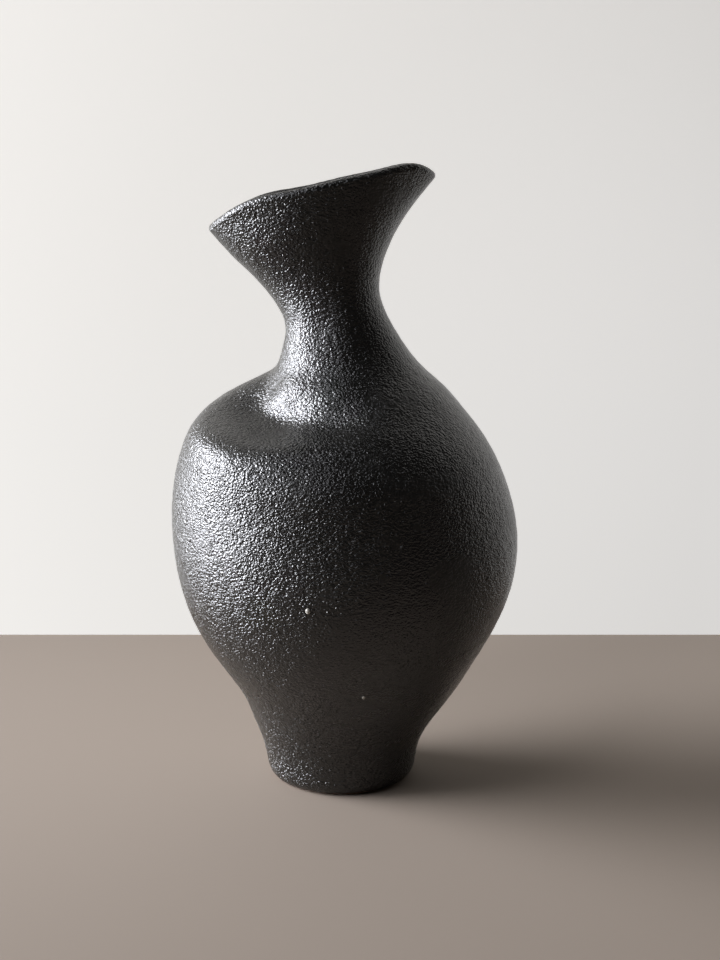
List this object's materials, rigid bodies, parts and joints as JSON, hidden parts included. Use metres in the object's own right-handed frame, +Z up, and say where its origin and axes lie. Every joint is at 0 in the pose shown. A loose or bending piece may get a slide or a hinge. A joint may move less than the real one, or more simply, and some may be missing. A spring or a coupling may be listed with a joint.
{
  "type": "hand-built black clay vase",
  "caption": "Hand-built black clay vase with a narrow foot, a full belly, a slumped shoulder and a leaning neck that opens into a slanted, flared mouth.",
  "frame": {"origin": "centre of the flat resting face under the foot", "axes": "+Z up, +X towards the side where the mouth is highest, -Y towards the front with the creased shoulder"},
  "size_m": [0.1904, 0.1812, 0.3413],
  "materials": {
    "glaze": "satin black glaze over dark clay, with a fine leathery orange-peel grain",
    "bare_clay": "dark brown fired clay, bare and matt under the foot, glazed black on its outer edge"
  },
  "bodies": {
    "root": {"base_slab": "bare_clay", "foot_wall": "glaze", "lower_belly": "glaze", "upper_belly": "glaze", "shoulder": "glaze", "neck": "glaze", "mouth": "glaze"}
  },
  "joints": []
}
